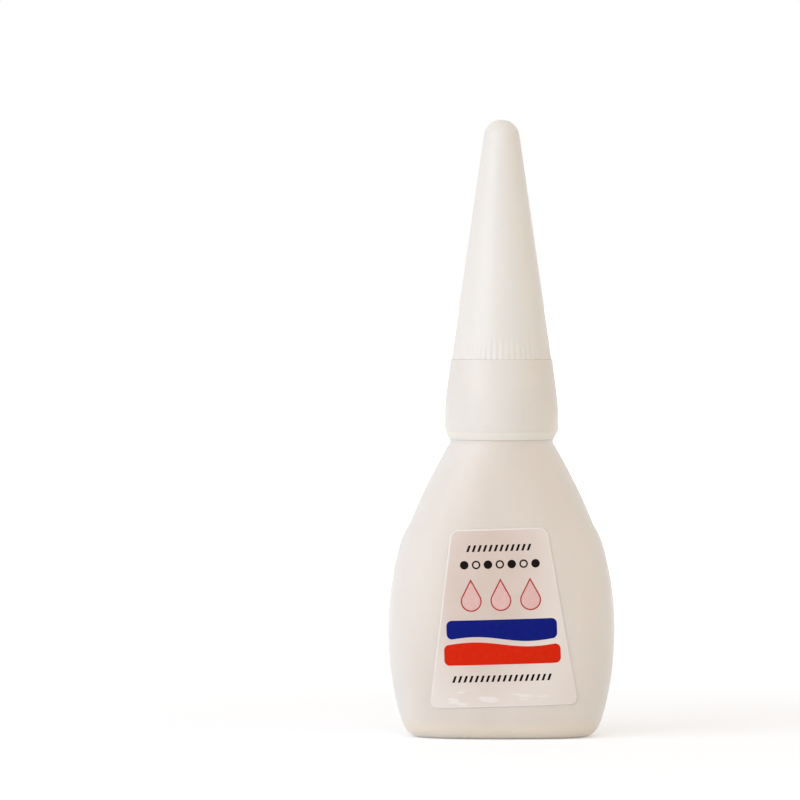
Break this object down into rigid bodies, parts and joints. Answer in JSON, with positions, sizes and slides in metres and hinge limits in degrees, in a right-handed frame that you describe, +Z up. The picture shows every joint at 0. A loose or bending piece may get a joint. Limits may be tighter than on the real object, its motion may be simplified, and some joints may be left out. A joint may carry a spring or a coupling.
{
  "type": "super glue bottle with cone cap",
  "caption": "Flat oval squeeze bottle of instant adhesive with a press-fitted nozzle and a long conical screw cap with a ribbed rim.",
  "frame": {"origin": "middle of the footprint, on the surface that the bottle stands on; the screw axis of neck and cap is the Z axis", "axes": "+Z up along the screw axis, X across the flask's wide side, -Y out of the labelled front"},
  "size_m": [0.0386, 0.0209, 0.105],
  "materials": {
    "bottle_plastic": "natural polyethylene, softly glossy and milky",
    "nozzle_plastic": "natural polyethylene, softly glossy and milky",
    "cap_plastic": "white polypropylene, satin",
    "pin_steel": "drawn wire",
    "label_film": "thin printed film, satin",
    "adhesive_liquid": "clear thin liquid"
  },
  "bodies": {
    "bottle_body": {"bottle": "bottle_plastic", "nozzle": "nozzle_plastic", "front_label": "label_film", "adhesive": "adhesive_liquid"},
    "cap_carrier": {"cap_pin": "pin_steel"},
    "cap_body": {"cap": "cap_plastic"}
  },
  "joints": [
    {"name": "cap_lift", "type": "slide", "parent": "bottle_body", "child": "cap_carrier", "axis": [0, 0, 1], "range_m": [0, 0.045]},
    {"name": "cap_turn", "type": "hinge", "parent": "cap_carrier", "child": "cap_body", "pos_m": [0, 0, 0.0646], "axis": [0, 0, 1], "range_deg": [0, 720]}
  ]
}
